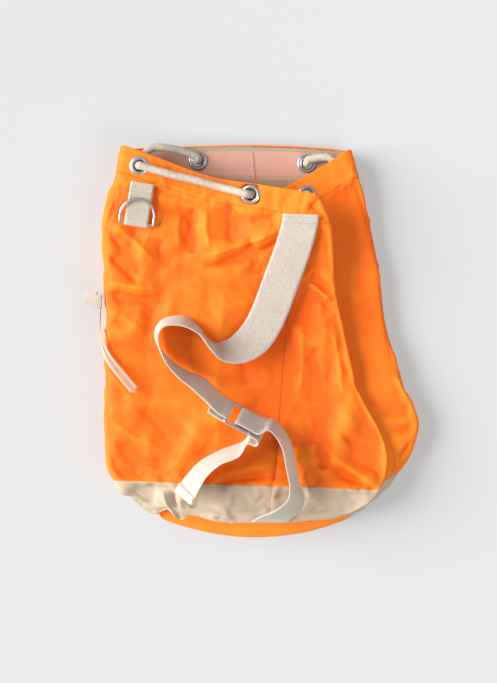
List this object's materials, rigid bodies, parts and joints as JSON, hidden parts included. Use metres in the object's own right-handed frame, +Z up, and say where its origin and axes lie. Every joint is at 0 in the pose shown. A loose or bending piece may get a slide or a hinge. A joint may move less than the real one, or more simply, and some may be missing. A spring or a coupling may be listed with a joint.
{
  "type": "drawstring bucket bag",
  "caption": "Drawstring bucket bag in orange cloth with a webbing shoulder strap, side zip and D-ring, lying empty on its back.",
  "frame": {"origin": "centre of the bounding box in X and Y, at the face the bag lies on", "axes": "+X across the bag, +Y towards the mouth, +Z up from the surface it lies on"},
  "size_m": [0.3517, 0.4183, 0.0897],
  "materials": {
    "orange_cloth": "matt plain weave",
    "facing_cloth": "matt plain weave",
    "band_cloth": "matt plain weave",
    "lining_cloth": "matt plain weave",
    "webbing": "matt ribbed weave",
    "cord_cotton": "matt braid",
    "zip_cotton": "matt tape and teeth",
    "label_satin": "satin",
    "steel": "nickel-plated",
    "zip_metal": "nickel-plated"
  },
  "bodies": {
    "slider": {"zip_slider": "zip_metal"},
    "pull": {"zip_pull": "zip_metal"},
    "ring": {"d_ring": "steel"},
    "bag": {"body_panel": "orange_cloth", "bottom_band": "band_cloth", "base_disc": "orange_cloth", "hem_facing": "facing_cloth", "lining": "lining_cloth", "base_lining": "lining_cloth", "seam_tape": "lining_cloth", "zip_pocket": "lining_cloth", "eyelet_front_left": "steel", "eyelet_front_right": "steel", "eyelet_pleat_upper": "steel", "eyelet_pleat_lower": "steel", "eyelet_back_right": "steel", "eyelet_back_left": "steel", "washer_front_left": "steel", "washer_front_right": "steel", "washer_pleat_upper": "steel", "washer_pleat_lower": "steel", "washer_back_right": "steel", "washer_back_left": "steel", "drawcord": "cord_cotton", "cord_sleeve": "cord_cotton", "dring_tab": "webbing", "shoulder_strap": "webbing", "anchor_strap": "webbing", "strap_buckle": "steel", "zip_tape_front": "zip_cotton", "zip_tape_rear": "zip_cotton", "zip_teeth_front": "zip_cotton", "zip_teeth_rear": "zip_cotton", "zip_end_stop": "zip_metal", "zip_top_stop": "zip_metal", "side_label": "label_satin"}
  },
  "joints": [
    {"name": "d_ring_hinge", "type": "hinge", "parent": "bag", "child": "ring", "pos_m": [-0.118, 0.124, 0.0469], "axis": [0.9877, -0.1564, 0], "range_deg": [0, 165]},
    {"name": "zip_slide", "type": "slide", "parent": "bag", "child": "slider", "axis": [0, -0.829, 0.5592], "range_m": [0, 0.02]},
    {"name": "zip_pull_hinge", "type": "hinge", "parent": "slider", "child": "pull", "pos_m": [-0.1614, 0.0402, 0.01191], "axis": [0, 0.5592, 0.829], "range_deg": [0, 150]}
  ]
}
